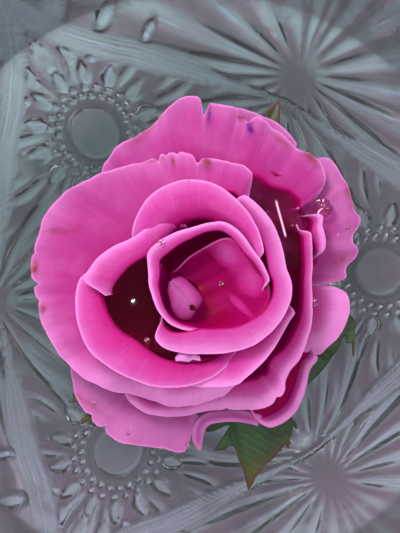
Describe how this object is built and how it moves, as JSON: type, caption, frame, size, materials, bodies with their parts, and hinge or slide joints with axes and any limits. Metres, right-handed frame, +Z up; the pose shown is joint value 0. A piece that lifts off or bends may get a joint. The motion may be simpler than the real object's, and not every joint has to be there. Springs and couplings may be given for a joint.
{
  "type": "rose floating in bowl",
  "caption": "Open pink rose with layered petals and toothed green sepals, floating on water in a round pressed-glass bowl with a scalloped rim.",
  "frame": {"origin": "centre of the bowl's foot, on the surface that it stands on", "axes": "+Z up along the bowl's axis; +Y towards the top of the bloom as seen from above; +X to its right"},
  "size_m": [0.244, 0.244, 0.083],
  "materials": {
    "glass": "clear pressed glass with a grey tint, glossy",
    "water": "still clear water",
    "petal": "velvety pink petal, crimson in its depths",
    "sepal": "satin dark green leaf"
  },
  "bodies": {
    "root": {"bowl": "glass", "water": "water", "bloom": "petal", "calyx": "sepal"}
  },
  "joints": []
}
